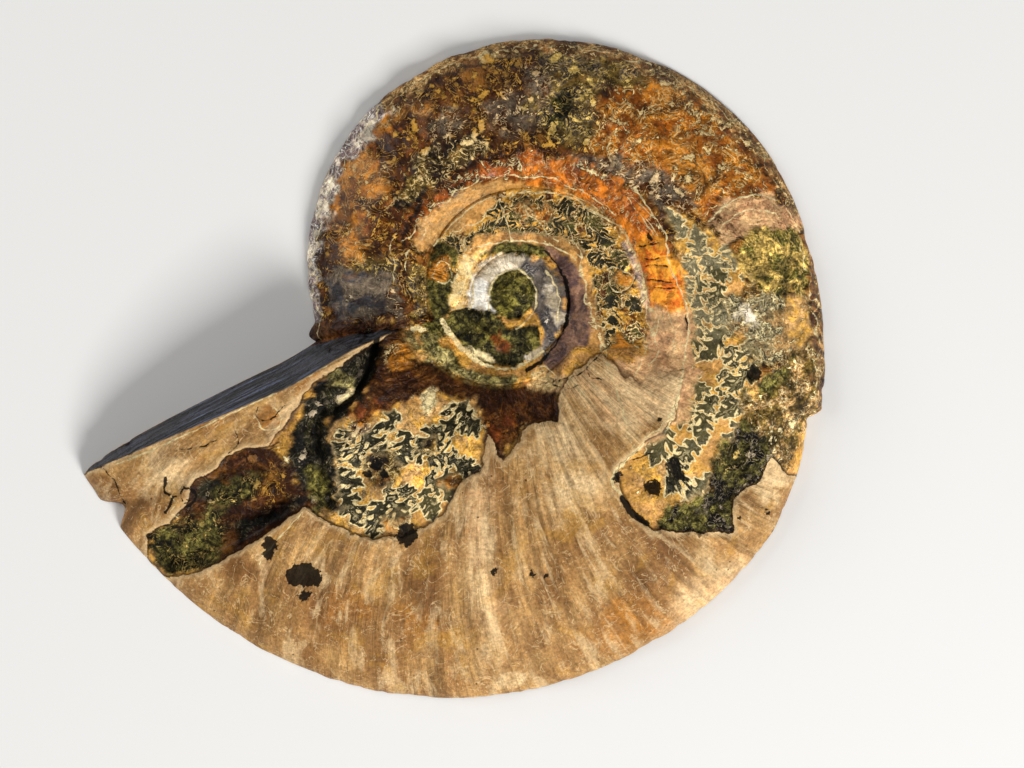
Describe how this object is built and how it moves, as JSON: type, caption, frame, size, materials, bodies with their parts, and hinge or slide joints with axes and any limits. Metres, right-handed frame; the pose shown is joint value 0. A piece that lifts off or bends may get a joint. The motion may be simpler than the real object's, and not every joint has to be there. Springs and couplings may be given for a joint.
{
  "type": "ammonite fossil half",
  "caption": "Coiled fossil shell sawn in half, domed on one side and flat on the other, with a stepped umbilicus and a broken end.",
  "frame": {"origin": "middle of the coil, on the flat sawn face", "axes": "+Z out of the domed flank, away from the sawn face; the last turn ends on the -X side, a little towards -Y"},
  "size_m": [0.1185, 0.1055, 0.0135],
  "materials": {
    "fossil": "polished calcite with tan shell, dark leaf-shaped sutures and rough dark rock in the breaks"
  },
  "bodies": {
    "root": {"ammonite_half": "fossil"}
  },
  "joints": []
}
